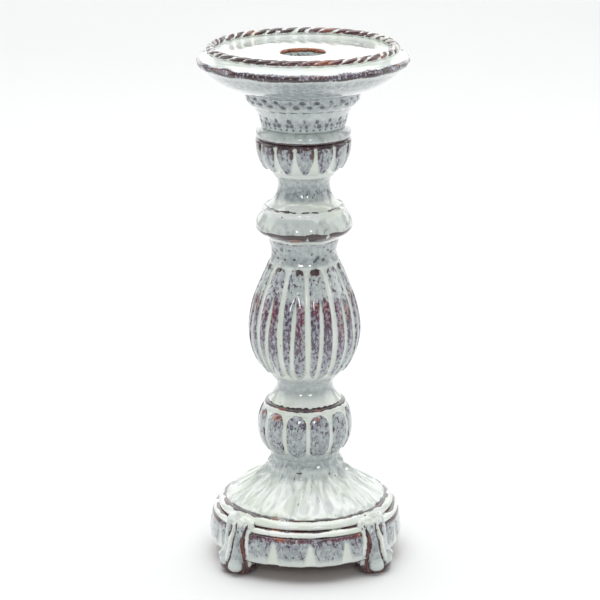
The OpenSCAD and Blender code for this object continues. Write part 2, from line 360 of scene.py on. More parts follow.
def carve_collar(bearing, radius, height, marks):
    """Stepped collar with a broken dark line over it and a thick one at its foot."""
    grime = wobble(bearing, height, 74, turns=44, pitch=8.0)
    paint(marks, "pool", np.maximum(0.9 * ease(194.6, 196, height), 0.4 * bell(191, 3, height)))
    paint(marks, "grey", ease(195.5, 193, height) * (0.35 + 0.5 * ease(0.0, 1.2, grime)))
    paint(marks, "plum", 0.4 * ease(194.5, 192, height) * ease(0.3, 1.4, grime))
    foot = 186.9 + 0.45 * sway(bearing, 71, turns=14)
    gaps = patches(bearing, height, ((4, 184.5, 3.5, 2.5), (30, 185.5, 3.5, 2.5), (-49, 185, 4, 2.0)))
    paint(marks, "edge", 1.4 * ease(foot + 1.0, foot, height) * (1.0 - 0.9 * gaps))
    paint(marks, "rust", 1.2 * patches(bearing, height, ((-11, 183.9, 9, 0.9), (38, 184, 4, 0.6))))
    paint(marks, "edge", 0.75 * broken_line(bearing, height, 198.6, 0.36, share=0.8))
    return 0.16 * wobble(bearing, height, 72) + 0.07 * wobble(bearing, height, 73, turns=26, pitch=6.0)


def carve_baluster(bearing, radius, height, marks):
    """Twelve broad lobes that divide in two above the belly, dark at the tips and red in patches."""
    split = 151.0
    broad, across = panels(
        bearing, radius, height, 12, 3.5, (105.4, 168.0), 1.05 + 0.45 * bell(132, 24, height), 5.0
    )
    lean = 0.1 * (1.0 - np.sin(np.radians(bearing))) * (height - 140)
    between = np.radians(from_nearest(bearing - lean, 12, 18.5)) * radius
    second = 0.95 * ease(split, split - 9.0, height) ** 0.6
    inside = np.minimum(broad, np.hypot(between, np.maximum(height - split, 0.0)) - second)
    paired = np.abs(from_nearest(bearing, 24, 11.0)) / 7.5
    crown = 0.4 * across**2 * ease(146, 156, height) + 0.4 * paired**2 * ease(156, 146, height)
    lobe = ease(-0.75, 0.85, inside)
    relief = 1.5 * (lobe * (1.0 - crown) - 1.0)

    fluted = ease(168.6, 166.6, height) * ease(103.5, 107.5, height)
    on_lobe = ease(-0.15, 0.55, inside) * fluted
    grime = wobble(bearing, height, 83, turns=48, pitch=16.0)
    belly = ease(154, 148, height) * (0.4 + 0.6 * ease(114, 127, height)) * ease(108, 112, height)
    paint(marks, "pool", (1.0 - ease(-0.45, 0.3, inside)) * fluted)
    paint(marks, "grey", on_lobe * (0.55 + 0.45 * belly) + 0.75 * ease(166.5, 170.0, height))
    paint(marks, "grey", 0.6 * ease(107.0, 104.0, height))
    streaked = patches(bearing, height, ((-41, 158, 11, 7), (-19, 160, 6, 4), (74, 158, 9, 6)))
    paint(marks, "plum", on_lobe * (0.3 + 0.6 * belly + 0.15 * grime + 0.45 * streaked))
    paint(marks, "edge", 0.55 * bell(0.3, 0.4, inside) * on_lobe * ease(114, 126, height))
    tips = ((-8, 165.8, 9, 2.6), (17, 165.8, 8, 2.4), (52, 166, 6, 2.4), (-41, 166, 10, 1.4),
            (-71, 166, 9, 2), (76, 166, 9, 2), (108, 166, 9, 2.6), (138, 166, 9, 2), (165, 166, 9, 2.6),
            (-100, 166, 9, 2), (-132, 166, 9, 2.6), (-162, 166, 9, 2))
    paint(marks, "edge", 1.3 * on_lobe * patches(bearing, height, tips) * (0.8 + 0.35 * grime))
    crimson = ((-36, 144, 6, 8), (-50, 144, 4, 7), (-3.5, 143, 5, 13), (13, 147, 4, 5), (25, 146, 4, 7),
               (40, 140, 5, 11), (68, 150, 6, 5), (96, 143, 5, 11), (127, 146, 6, 8), (156, 142, 5, 11),
               (-95, 143, 5, 10), (-126, 145, 6, 8), (-155, 143, 5, 10), (-5, 164, 3, 2), (19, 164, 3, 2))
    paint(marks, "red", on_lobe * patches(bearing, height, crimson))
    orange = ((-67, 146, 7, 7), (54, 143, 4, 6), (14, 149, 3, 2), (25, 148, 3, 2), (112, 146, 5, 6))
    paint(marks, "rust", 0.75 * on_lobe * patches(bearing, height, orange))

    spots = ease(0.35, 1.0, wobble(bearing, height, 84, turns=26, pitch=2.8)) * bell(174, 5, height)
    paint(marks, "ink", 0.85 * spots)
    ledge = 181.6 + 0.5 * sway(bearing, 81, turns=10)
    paint(marks, "pool", 0.9 * bell(ledge, 0.7, height))
    paint(marks, "edge", 0.8 * broken_line(bearing, height, 180.2, 0.35, share=0.1))
    paint(marks, "edge", ease(182.4, 183.0, height))
    paint(marks, "rust", 1.2 * patches(bearing, height, ((-11, 183.2, 9, 0.8), (38, 183, 4, 0.6))))
    return relief * fluted + 0.14 * wobble(bearing, height, 82) - 0.15 * (1 - fluted)


def carve_lower_spool(bearing, radius, height, marks):
    """Smooth waist that pools white towards its jagged dark foot."""
    paint(marks, "grey", 0.7 * bell(99, 4, height))
    paint(marks, "pool", ease(96, 91.5, height))
    jagged = 89.5 + 0.25 * sway(bearing, 92, turns=40)
    paint(marks, "edge", ease(jagged + 0.4, jagged - 0.2, height))
    return 0.13 * wobble(bearing, height, 91)


def carve_lower_bead(bearing, radius, height, marks):
    """Thin ring, broken dark on its crown and white under it."""
    thinner = ease(25, 70, np.abs(bearing_near(bearing)))
    low = 88.0 + 0.5 * thinner + 0.25 * sway(bearing, 102, turns=30)
    paint(marks, "edge", ease(low - 0.4, low + 0.2, height))
    paint(marks, "rust", 0.8 * patches(bearing, height, ((-36, 88.3, 8, 0.8), (20, 88.3, 5, 0.6))))
    paint(marks, "pool", 0.9 * ease(low, low - 0.4, height))
    return 0.08 * wobble(bearing, height, 101)


def carve_lower_knop(bearing, radius, height, marks):
    """Twelve rounded grey panels with thin dark outlines."""
    inside, across = panels(bearing, radius, height, 12, 3.8, (61.2, 86.2), 1.0, 4.6)
    lobe = ease(-0.75, 0.8, inside)
    relief = 1.2 * (lobe * (1.0 - 0.3 * across**2) - 1.0)
    fluted = ease(86.8, 85.6, height) * ease(59.4, 61.4, height)
    grime = wobble(bearing, height, 112, turns=40, pitch=9.0)
    paint(marks, "pool", (1.0 - ease(-0.4, 0.25, inside) * fluted) * (0.75 * ease(60, 66, height)))
    paint(marks, "grey", 0.7 * ease(63.0, 60.5, height))
    paint(marks, "grey", ease(-0.1, 0.5, inside))
    paint(marks, "plum", ease(0.0, 0.7, inside) * (0.3 + 0.2 * ease(72, 82, height) + 0.15 * grime))
    outline_here = bell(0.35, 0.4, inside) * fluted
    paint(marks, "edge", outline_here * (0.36 + 0.3 * ease(79, 85, height) + 0.25 * grime))
    rust = ((-38, 84.0, 8, 1.6), (16, 84.4, 4, 0.8), (-68, 84, 5, 1.2), (104, 83.5, 7, 1.6),
            (-150, 84, 8, 1.6))
    paint(marks, "rust", ease(0.0, 0.6, inside) * patches(bearing, height, rust))
    return relief * fluted - 0.1 * (1 - fluted) + 0.08 * wobble(bearing, height, 111)


def carve_dome(bearing, radius, height, marks):
    """Twelve broad petals with creased middles, below a scalloped shelf."""
    count = 12
    lean = 1.5 * sway(bearing, 124, turns=8)
    across = from_nearest(bearing + lean, count, 4.0) * np.radians(1.0) * radius
    away = np.abs(across)
    half = math.pi * radius / count
    reach = ease(53.0, 49.0, height) * ease(34.2, 39.0, height)
    petal = ease(0.2, 2.4, half * ease(54.0, 44.0, height) * 0.95 - away)
    rib = np.exp(-((away / 1.3) ** 2)) * ease(37, 41, height)
    fold = np.exp(-(((away - 0.42 * half) / (0.1 * half)) ** 2)) * ease(39, 47, height)
    hand = wobble(bearing, height, 123, turns=30, pitch=14.0)
    dimples = wobble(bearing, height, 125, turns=60, pitch=6.0)
    relief = reach * (1.5 * petal - 1.5 + (0.8 + 0.4 * hand) * rib - (0.45 + 0.45 * hand) * fold)
    scallop = 0.8 * bell(53.5, 1.2, height) * (1.0 - (across / half) ** 2)
    under = bell(52.3, 0.8, height) * ease(0.3, 0.9, away / half)
    paint(marks, "edge", under * (0.42 + 0.3 * hand))
    pits = ((-16.5, 50, 2.0, 0.8), (-6.5, 40.3, 1.3, 0.6), (40, 51, 3.5, 1.0), (-32, 55, 2, 0.8))
    paint(marks, "ink", 0.65 * patches(bearing, height, pits))
    # Slate in the petals' folds: painted shade in the creases.
    paint(marks, "ink", 0.3 * reach * fold * ease(0.3, 1.3, hand))
    # Grey at the top by the neck and between the petals: the glaze's own grey with painted shade.
    paint(marks, "grey", 0.75 * ease(51, 55, height) + 0.3 * reach * (1.0 - petal))
    paint(marks, "grey", ease(0.1, 1.1, dimples + 0.5 * hand) * (0.3 + 0.4 * ease(40, 48, height)))
    paint(marks, "plum", 0.3 * ease(0.7, 1.5, dimples) * ease(37, 41, height))
    pale_glaze = ease(52, 47, height) * ease(-0.7, 0.3, petal + 0.3 * hand)
    paint(marks, "pool", pale_glaze * (0.8 - 0.5 * ease(0.2, 1.2, dimples)))
    paint(marks, "ink", 0.8 * broken_line(bearing, height, 34.3, 0.6, share=0.1))
    paint(marks, "rust", 1.1 * patches(bearing, height, ((-20, 34.4, 5, 0.9), (-63, 34.4, 4, 0.6))))
    return relief + scallop + 0.2 * hand + 0.14 * dimples + 0.1 * wobble(bearing, height, 122)


def carve_ring(bearing, radius, height, marks):
    """White moulded ring whose lips break to black, red and orange at the joints."""
    low, high = height.min(), height.max()
    paint(marks, "pool", np.full(radius.shape, 0.95))
    for joint in (low, high):
        paint(marks, "edge", broken_line(bearing, height, joint, 0.42, share=0.9))
    paint(marks, "red", ease(-0.6, 0.8, sway(bearing, 134, turns=12)))
    paint(marks, "rust", patches(bearing, height, ((-14, low + 0.2, 4, 0.9), (-20, high, 4, 0.7))))
    return 0.12 * wobble(bearing, height, 132)


def carve_drum(bearing, radius, height, marks):
    """Sixteen flutes that widen downwards, under a dark speckled band."""
    groove = 0.9 + 2.1 * ease(23.0, 11.0, height)
    away = np.abs(from_nearest(bearing, 16, 2.7)) * np.radians(1.0) * radius
    flute = ease(groove + 1.2, groove - 1.0, away) * ease(23.4, 21.0, height)
    wall = ease(9.5, 10.2, height) * ease(51.0, 51.4, radius)
    grime = wobble(bearing, height, 142, turns=60, pitch=8.0)
    paint(marks, "pool", np.maximum(0.8 * flute, 0.35 * ease(16.0, 12.0, height)) * wall)
    paint(marks, "grey", (1.0 - flute) * ease(10.5, 15.5, height) * wall)
    dots = (1.0 - flute) * ease(11.0, 15.0, height) * wall
    paint(marks, "plum", dots * (0.3 + 0.2 * ease(17, 22, height) + 0.15 * grime))
    band = ease(22.9, 24.0, height + 0.5 * grime) * ease(26.2, 25.6, height)
    paint(marks, "edge", band * (0.34 + 0.22 * grime + 0.6 * ease(25.1, 25.8, height)))
    paint(marks, "plum", 1.1 * band)
    paint(marks, "red", 0.6 * band * ease(-0.9, 0.7, sway(bearing, 143, turns=20)))
    paint(marks, "edge", 0.9 * bell(9.9, 0.5, height) * ease(49, 51, radius))
    paint(marks, "rust", 1.1 * patches(bearing, height, ((-16, 25.0, 4, 0.9), (34, 24.8, 2.5, 0.7))))
    paint(marks, "bare", ease(51.0, 50.2, radius) * ease(20.0, 12.0, height))
    return -1.1 * flute * (0.3 + 0.7 * ease(9.5, 14.0, height)) + 0.12 * wobble(bearing, height, 141)


# ---------------------------------------------------------------- the pieces that aren't turned


def rope():
    """The twisted bead round the dish: strands that lean over a round core."""
    around, across = 1440, 40
    bearing = (np.arange(around) * 360.0 / around)[None, :]
    over = (np.arange(across) * 360.0 / across)[:, None]
    uneven = sway(bearing, 151, turns=30)
    strand = np.radians(ROPE_STRANDS * bearing - ROPE_TWIST * over) + 0.8 * uneven
    crest = np.abs(np.cos(strand / 2.0))
    tube = ROPE_R - 0.85 * (1.0 - crest**0.5)
    radius = ROPE_AT + tube * np.cos(np.radians(over))
    height = np.maximum(ROPE_Z + tube * np.sin(np.radians(over)), 282.3)
    marks = {mark: np.zeros(radius.shape) for mark in MARKS}
    lift = np.broadcast_to(np.sin(np.radians(over)), radius.shape)
    above = ease(-0.25, 0.2, lift)
    dark_share = 0.32 * wobble(bearing, over * 0.2, 152, turns=60) + 0.2 * sway(bearing, 155)
    # The strands are darker towards the front and paler towards the sides.
    dark_share = dark_share + 0.08 * ease(70, 30, np.abs(bearing_near(bearing)))
    gap = 0.22 * ease(25, 75, np.abs(bearing_near(bearing)))
    paint(marks, "edge", 1.1 * ease(0.08, 0.3, crest + dark_share - gap) * above)
    paint(marks, "red", ease(-0.5, 0.6, sway(bearing, 153, turns=6)) * above)
    paint(marks, "rust", 0.55 * ease(0.2, 1.4, sway(bearing, 154, turns=20)) * above)
    paint(marks, "pool", np.maximum(1.0 - ease(0.05, 0.26, crest + dark_share - gap), 1.0 - above))
    turn = np.radians(bearing - 90.0)
    points = np.stack([radius * np.cos(turn), radius * np.sin(turn), height], axis=-1)
    quads = grid_quads(across, around, True)[:, ::-1]
    piece = new_mesh("glazed_rope", points.reshape(-1, 3) * MM, quads, marks)
    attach(piece, "root")
    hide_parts("rope_rim")
    return piece


def along(height, knots):
    """A smooth curve through (height, value) knots."""
    at, value = np.array(knots, float).T
    fine = smooth_run(np.stack([at, value], axis=1), 0.2)
    order = np.argsort(fine[:, 0])
    return np.interp(height, fine[order, 0], fine[order, 1])


def foot_body(tall, side, deep):
    """Plan of the foot at each height, as distances out from the axis and across, away from it.

    It is a pad that follows the drum above, and a round toe below."""
    toe = ease(15.0, 7.5, tall)
    width = along(tall, ((0, 7.4), (1.3, 9.5), (3.6, 10.5), (7, 10.6), (11, 10.2), (16, 9.7), (24, 9.9),
                         (29, 10.3), (FOOT_TOP, 9.2)))
    front = along(tall, ((0, 53.2), (1.3, 55.4), (3.6, 56.8), (6.5, 57.2), (10, 56.7), (14, 55.7),
                         (18, 54.8), (22, 54.0), (26, 53.0), (29, 51.6), (31, 49.8), (32.2, 48.0),
                         (FOOT_TOP, 45.8)))
    rear = np.interp(tall, [0, 3.6, 9.3, 9.6, 31, FOOT_TOP], [40.7, 37.9, 38.6, 47.9, 46.0, 43.0])
    round_side = np.sign(side) * np.abs(side) ** (0.75 + 0.25 * toe)
    round_deep = np.sign(deep) * np.abs(deep) ** (0.7 + 0.3 * toe)
    across = 0.4 + 3.4 * toe + width * round_side
    out = (front + rear) / 2.0 + (front - rear) / 2.0 * round_deep
    bend = front - np.sqrt(front**2 - np.minimum(across**2, 150.0))
    return out - 1.3 * bend * (1.0 - toe) * ease(-0.2, 0.4, deep), across


def foot(node, right, front):
    """A scroll foot: a drop between two dark grooves, held by two ridges that run out of the ring.

    As on a cast piece, the scroll faces the front or the back of the candlestick."""
    around, rows = 220, 166
    turn = (np.arange(around) * 2.0 * math.pi * right * front / around)[None, :]
    height = np.linspace(FOOT_TOP, 0.0, rows)[:, None]
    side = np.broadcast_to(np.cos(turn), (rows, around))
    deep = np.broadcast_to(np.sin(turn), (rows, around))
    tall = np.broadcast_to(height, (rows, around))
    out, across = foot_body(tall, side, deep)
    sin_at, cos_at = math.sin(math.radians(FOOT_BEARING)), math.cos(math.radians(FOOT_BEARING))
    off = out * sin_at + across * cos_at - FOOT_AXIS
    face = ease(0.0, 0.4, deep * cos_at - side * sin_at)

    creases = wobble(off * 20.0, tall, 161 + 7 * right + 3 * front, turns=3, pitch=9.0)
    lobe_at = along(tall, ((0, 1.3), (6.3, 1.2), (11, 0.7), (16, 0.5), (24, -0.2), (FOOT_TOP, -0.6)))
    lobe_half = along(tall, ((0, 2.6), (3, 3.8), (6.3, 4.0), (9, 3.8), (12, 3.0), (16.5, 2.2),
                             (24, 1.5), (FOOT_TOP, 0.8)))
    inner_at = along(tall, ((0, -4.6), (5, -5.0), (10, -4.3), (15, -3.4), (19.5, -2.7), (24, -3.4),
                            (28.8, -5.4), (FOOT_TOP, -8)))
    inner_half = along(tall, ((0, 0.6), (7, 0.9), (12, 1.2), (19.5, 1.5), (24, 1.1), (28.8, 0.5),
                              (FOOT_TOP, 0.4)))
    outer_at = along(tall, ((0, 5.6), (6, 5.4), (11, 4.1), (16, 2.9), (20, 2.3), (25, 0.9),
                            (FOOT_TOP, 0.0)))
    olive_at = along(tall, ((0, 9.0), (22, 5.1), (28, 2.4), (FOOT_TOP, 1.6)))

    inner_groove = np.exp(-(((off - inner_at) / inner_half) ** 2))
    outer_groove = np.exp(-(((off - outer_at) / 0.55) ** 2))
    olive_groove = np.exp(-(((off - olive_at) / 0.6) ** 2)) * ease(19, 22, tall) * ease(29, 27, tall)
    curl = 2.4 * ease(25, 30, tall)
    inner_ridge = np.exp(-(((off - inner_at + inner_half + 1.1 + curl) / 0.95) ** 2))
    outer_ridge = np.exp(-(((off - outer_at - 1.35) / 0.75) ** 2)) * ease(7, 11, tall)
    from_drop = np.hypot(off - DROP_AT[0], (tall - DROP_AT[1]) * 0.92)
    drop = np.clip(1.0 - (from_drop / 4.2) ** 2, 0.0, 1.0) ** 0.7
    socket = bell(4.8, 0.9, from_drop) * ease(9, 7, tall)
    top = ease(31.0, 28.0, tall)
    groove = np.maximum(inner_groove, 0.85 * outer_groove) * ease(1.0, 3.0, tall)
    groove = np.maximum(np.maximum(groove, 0.85 * olive_groove) * top, 0.85 * socket)
    ridge = np.maximum(inner_ridge * ease(2.0, 5.0, tall), outer_ridge) * top
    lobe = ease(lobe_half + 0.5, lobe_half - 0.9, np.abs(off - lobe_at)) * top
    push = face * (0.7 * lobe * ease(2.0, 5.0, tall) + 1.3 * drop + 0.8 * ridge - 1.2 * groove)
    push = push + face * 0.2 * creases * ease(24, 29, tall) * ease(32.5, 31.0, tall)
    out = out + push * deep
    across = across + push * side

    marks = {mark: np.zeros(across.shape) for mark in MARKS}
    paint(marks, "grey", (0.45 + 0.55 * face * lobe) * (1.0 - drop) * ease(31, 27, tall))
    paint(marks, "plum", face * (0.1 + 0.5 * ease(20, 26, tall) * (0.7 + 0.5 * creases)) * (1.0 - drop))
    paint(marks, "pool", 0.7 * ease(27.5, 30.5, tall))
    paint(marks, "edge", 1.15 * face * groove)
    paint(marks, "red", 0.8 * face * groove)
    paint(marks, "rust", 0.3 * face * inner_groove * ease(24, 19, tall) * ease(2, 6, tall))
    paint(marks, "pool", face * np.clip(0.95 * ridge, 0.0, 1.0))
    marks["grey"][:] *= 1.0 - 0.7 * face * drop
    rim = ease(5.0, 3.2, tall + 0.5 * creases) * (1.0 - 0.9 * drop)
    cheek = face * ease(4.9, 5.8, from_drop) * ease(7.8, 4.8, tall)
    paint(marks, "edge", np.maximum(1.1 * rim, 0.75 * cheek))
    paint(marks, "rust", 0.5 * rim * ease(-0.3, 0.9, creases))
    paint(marks, "bare", ease(0.25, 0.05, tall))

    x = right * (out * sin_at + across * cos_at)
    y = -front * (out * cos_at - across * sin_at)
    points = np.stack([x, y, tall], axis=-1).reshape(-1, 3)
    piece = new_mesh(
        node.replace("foot_", "scroll_foot_"), points * MM, capped_quads(rows, around), marks
    )
    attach(piece, "root")
    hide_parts(node)
    return piece


def capped_quads(rows, around):
    """Quads of a tube whose first and last rings are closed by strips across them."""
    caps = []
    for row in (0, rows - 1):
        first = row * around
        for k in range(around // 2 - 1):
            cap = [first + k, first + k + 1, first + around - 2 - k, first + around - 1 - k]
            caps.append(cap if row == 0 else cap[::-1])
    return np.vstack([grid_quads(rows, around, False)[:, ::-1], np.array(caps)])


# ---------------------------------------------------------------- the glaze


class Nodes:
    """Writes a material's nodes as short expressions."""

    def __init__(self, name):
        self.material = bpy.data.materials.new(name)
        self.material.use_nodes = True
        self.tree = self.material.node_tree
        self.shader = self.tree.nodes["Principled BSDF"]
        self.place = self.add("ShaderNodeTexCoord").outputs["Object"]

    def add(self, kind):
        return self.tree.nodes.new(kind)

    def feed(self, socket, value):
        if isinstance(value, bpy.types.NodeSocket):
            self.tree.links.new(value, socket)
        else:
            socket.default_value = value

    def mark(self, name):
        node = self.add("ShaderNodeAttribute")
        node.attribute_name = name
        return node.outputs["Fac"]

    def maths(self, operation, first, second=0.0, clamp=False):
        node = self.add("ShaderNodeMath")
        node.operation = operation
        node.use_clamp = clamp
        self.feed(node.inputs[0], first)
        self.feed(node.inputs[1], second)
        return node.outputs[0]

    def times(self, first, second):
        return self.maths("MULTIPLY", first, second)

    def plus(self, first, second):
        return self.maths("ADD", first, second)

    def ramp(self, value, low, high):
        node = self.add("ShaderNodeMapRange")
        node.interpolation_type = "SMOOTHSTEP"
        self.feed(node.inputs["Value"], value)
        node.inputs["From Min"].default_value = low
        node.inputs["From Max"].default_value = high
        return node.outputs["Result"]

    def moved(self, offset, stretch=(1.0, 1.0, 1.0)):
        node = self.add("ShaderNodeMapping")
        self.feed(node.inputs["Vector"], self.place)
        node.inputs["Location"].default_value = offset
        node.inputs["Scale"].default_value = stretch
        return node.outputs["Vector"]

    def noise(self, grain, offset=(0.0, 0.0, 0.0), detail=3.0, rough=0.55, stretch=(1.0, 1.0, 1.0)):
        """Noise whose features are about grain mm across."""
        node = self.add("ShaderNodeTexNoise")
        self.feed(node.inputs["Vector"], self.moved(offset, stretch))
        node.inputs["Scale"].default_value = 1.0 / (grain * MM)
        node.inputs["Detail"].default_value = detail
        node.inputs["Roughness"].default_value = rough
        return node.outputs["Fac"]

    def cells(self, grain, offset=(0.0, 0.0, 0.0)):
        """Distance to the nearest of scattered points about grain mm apart, 0 at each point."""
        node = self.add("ShaderNodeTexVoronoi")
        self.feed(node.inputs["Vector"], self.moved(offset))
        node.inputs["Scale"].default_value = 1.0 / (grain * MM)
        return node.outputs["Distance"], node.outputs["Color"]

    def mix(self, amount, first, second):
        node = self.add("ShaderNodeMix")
        node.data_type = "RGBA"
        self.feed(node.inputs[0], amount)
        self.feed(node.inputs[6], first)
        self.feed(node.inputs[7], second)
        return node.outputs[2]


def srgb(red, green, blue):
    """A colour as 0 to 255 screen values, made linear."""
    return tuple((c / 255.0) ** 2.2 for c in (red, green, blue)) + (1.0,)


def glaze():
    """White reactive glaze over red clay: white where it pools, grey-green and speckled where it is
    thin, plum, crimson, orange or black where it breaks, slate in the stamps, and a few pinholes.
    The white is also a painted highlight on the upper spool's flare, the grey painted shade on the
    upper bead and the dome, and the slate painted shade in the dome's folds."""
    n = Nodes("reactive_glaze")
    pool, grey, plum, red = n.mark("pool"), n.mark("grey"), n.mark("plum"), n.mark("red")
    edge, rust, ink, bare = n.mark("edge"), n.mark("rust"), n.mark("ink"), n.mark("bare")
    cloud = n.noise(15.0, (0.11, 0.0, 0.0))
    mottle = n.noise(2.4, (0.0, 0.07, 0.0), detail=4.0)
    grain = n.noise(0.8, (0.0, 0.0, 0.05), detail=3.0, rough=0.6)
    runs = n.noise(1.3, (0.2, 0.1, 0.0), detail=3.0, rough=0.6, stretch=(1.0, 1.0, 0.55))

    white = n.mix(n.ramp(cloud, 0.35, 0.65), srgb(211, 218, 214), srgb(200, 208, 205))
    white = n.mix(n.times(n.ramp(mottle, 0.5, 0.72), 0.4), white, srgb(182, 192, 189))
    colour = n.mix(n.times(n.ramp(grain, 0.66, 0.74), 0.35), white, srgb(140, 146, 146))

    # Grey-green where the glaze is thin; the same grey also paints shade on the upper bead and the dome.
    thin = n.mix(n.ramp(mottle, 0.36, 0.62), srgb(176, 184, 184), srgb(140, 147, 150))
    thin = n.mix(n.times(n.ramp(runs, 0.5, 0.68), 0.6), thin, srgb(126, 130, 134))
    colour = n.mix(n.maths("MULTIPLY", grey, 1.0, clamp=True), colour, thin)

    dots = n.ramp(n.plus(runs, n.times(n.plus(plum, -0.5), 0.2)), 0.53, 0.6)
    smear = n.ramp(n.plus(mottle, n.times(n.plus(plum, -0.5), 0.5)), 0.42, 0.66)
    dark = n.mix(n.ramp(grain, 0.4, 0.6), srgb(98, 86, 102), srgb(66, 54, 68))
    crimson = n.mix(n.ramp(grain, 0.4, 0.6), srgb(128, 44, 60), srgb(78, 32, 50))
    dark = n.mix(n.times(red, n.ramp(mottle, 0.3, 0.5)), dark, crimson)
    wash = n.mix(n.times(red, 0.7), srgb(146, 145, 160), srgb(146, 98, 112))
    colour = n.mix(n.times(n.times(smear, 0.75), n.ramp(plum, 0.1, 0.6)), colour, wash)
    amber = n.mix(n.ramp(runs, 0.35, 0.6), srgb(184, 112, 72), srgb(134, 74, 50))
    colour = n.mix(n.times(rust, n.ramp(n.plus(mottle, n.times(rust, 0.3)), 0.45, 0.65)), colour, amber)
    colour = n.mix(n.times(dots, n.ramp(plum, 0.02, 0.3)), colour, dark)

    # The glaze's white, also a painted highlight on the upper spool's flare.
    pale_glaze = n.mix(n.ramp(cloud, 0.4, 0.6), srgb(218, 224, 211), srgb(228, 231, 228))
    pale_glaze = n.mix(n.times(n.ramp(mottle, 0.55, 0.75), 0.3), pale_glaze, srgb(206, 214, 206))
    colour = n.mix(pool, colour, pale_glaze)

    burnt = n.mix(n.ramp(grain, 0.38, 0.62), srgb(32, 24, 28), srgb(72, 44, 48))
    burnt = n.mix(n.times(red, n.ramp(runs, 0.42, 0.62)), burnt, srgb(100, 40, 48))
    burnt = n.mix(n.times(rust, n.ramp(mottle, 0.34, 0.54)), burnt, srgb(158, 82, 50))
    broken = n.ramp(n.plus(edge, n.times(n.plus(runs, -0.5), 1.3)), 0.36, 0.6)
    colour = n.mix(broken, colour, burnt)

    # Slate in the stamps, and painted shade in the dome's folds.
    slate = n.mix(grain, srgb(50, 54, 64), srgb(84, 88, 96))
    inked_and_shaded = n.ramp(n.plus(ink, n.times(n.plus(runs, -0.5), 0.8)), 0.25, 0.6)
    colour = n.mix(n.times(inked_and_shaded, 0.85), colour, slate)

    far, pick = n.cells(6.5)
    hole = n.times(n.ramp(far, 0.1, 0.055), n.ramp(pick, 0.62, 0.64))
    colour = n.mix(hole, colour, srgb(52, 40, 40))

    clay = n.mix(n.ramp(grain, 0.35, 0.65), srgb(124, 98, 84), srgb(146, 118, 102))
    colour = n.mix(bare, colour, clay)
    n.feed(n.shader.inputs["Base Color"], colour)

    gloss = n.plus(n.times(n.ramp(mottle, 0.3, 0.7), 0.06), 0.09)
    gloss = n.plus(gloss, n.times(broken, 0.12))
    n.feed(n.shader.inputs["Roughness"], n.plus(gloss, n.times(bare, 0.6)))
    n.shader.inputs["Coat Roughness"].default_value = 0.04
    n.feed(n.shader.inputs["Coat Weight"], n.plus(1.0, n.times(bare, -1.0)))

    waves = n.plus(n.times(n.noise(5.0, detail=2.0), 0.6), n.times(mottle, 0.2))
    waves = n.plus(waves, n.times(n.plus(broken, dots), -0.1))
    bump = n.add("ShaderNodeBump")
    n.feed(bump.inputs["Height"], n.plus(waves, n.times(hole, -0.35)))
    bump.inputs["Distance"].default_value = 0.4 * MM
    bump.inputs["Strength"].default_value = 0.6
    n.feed(n.shader.inputs["Normal"], bump.outputs["Normal"])
    return n.material


# ---------------------------------------------------------------- assembly


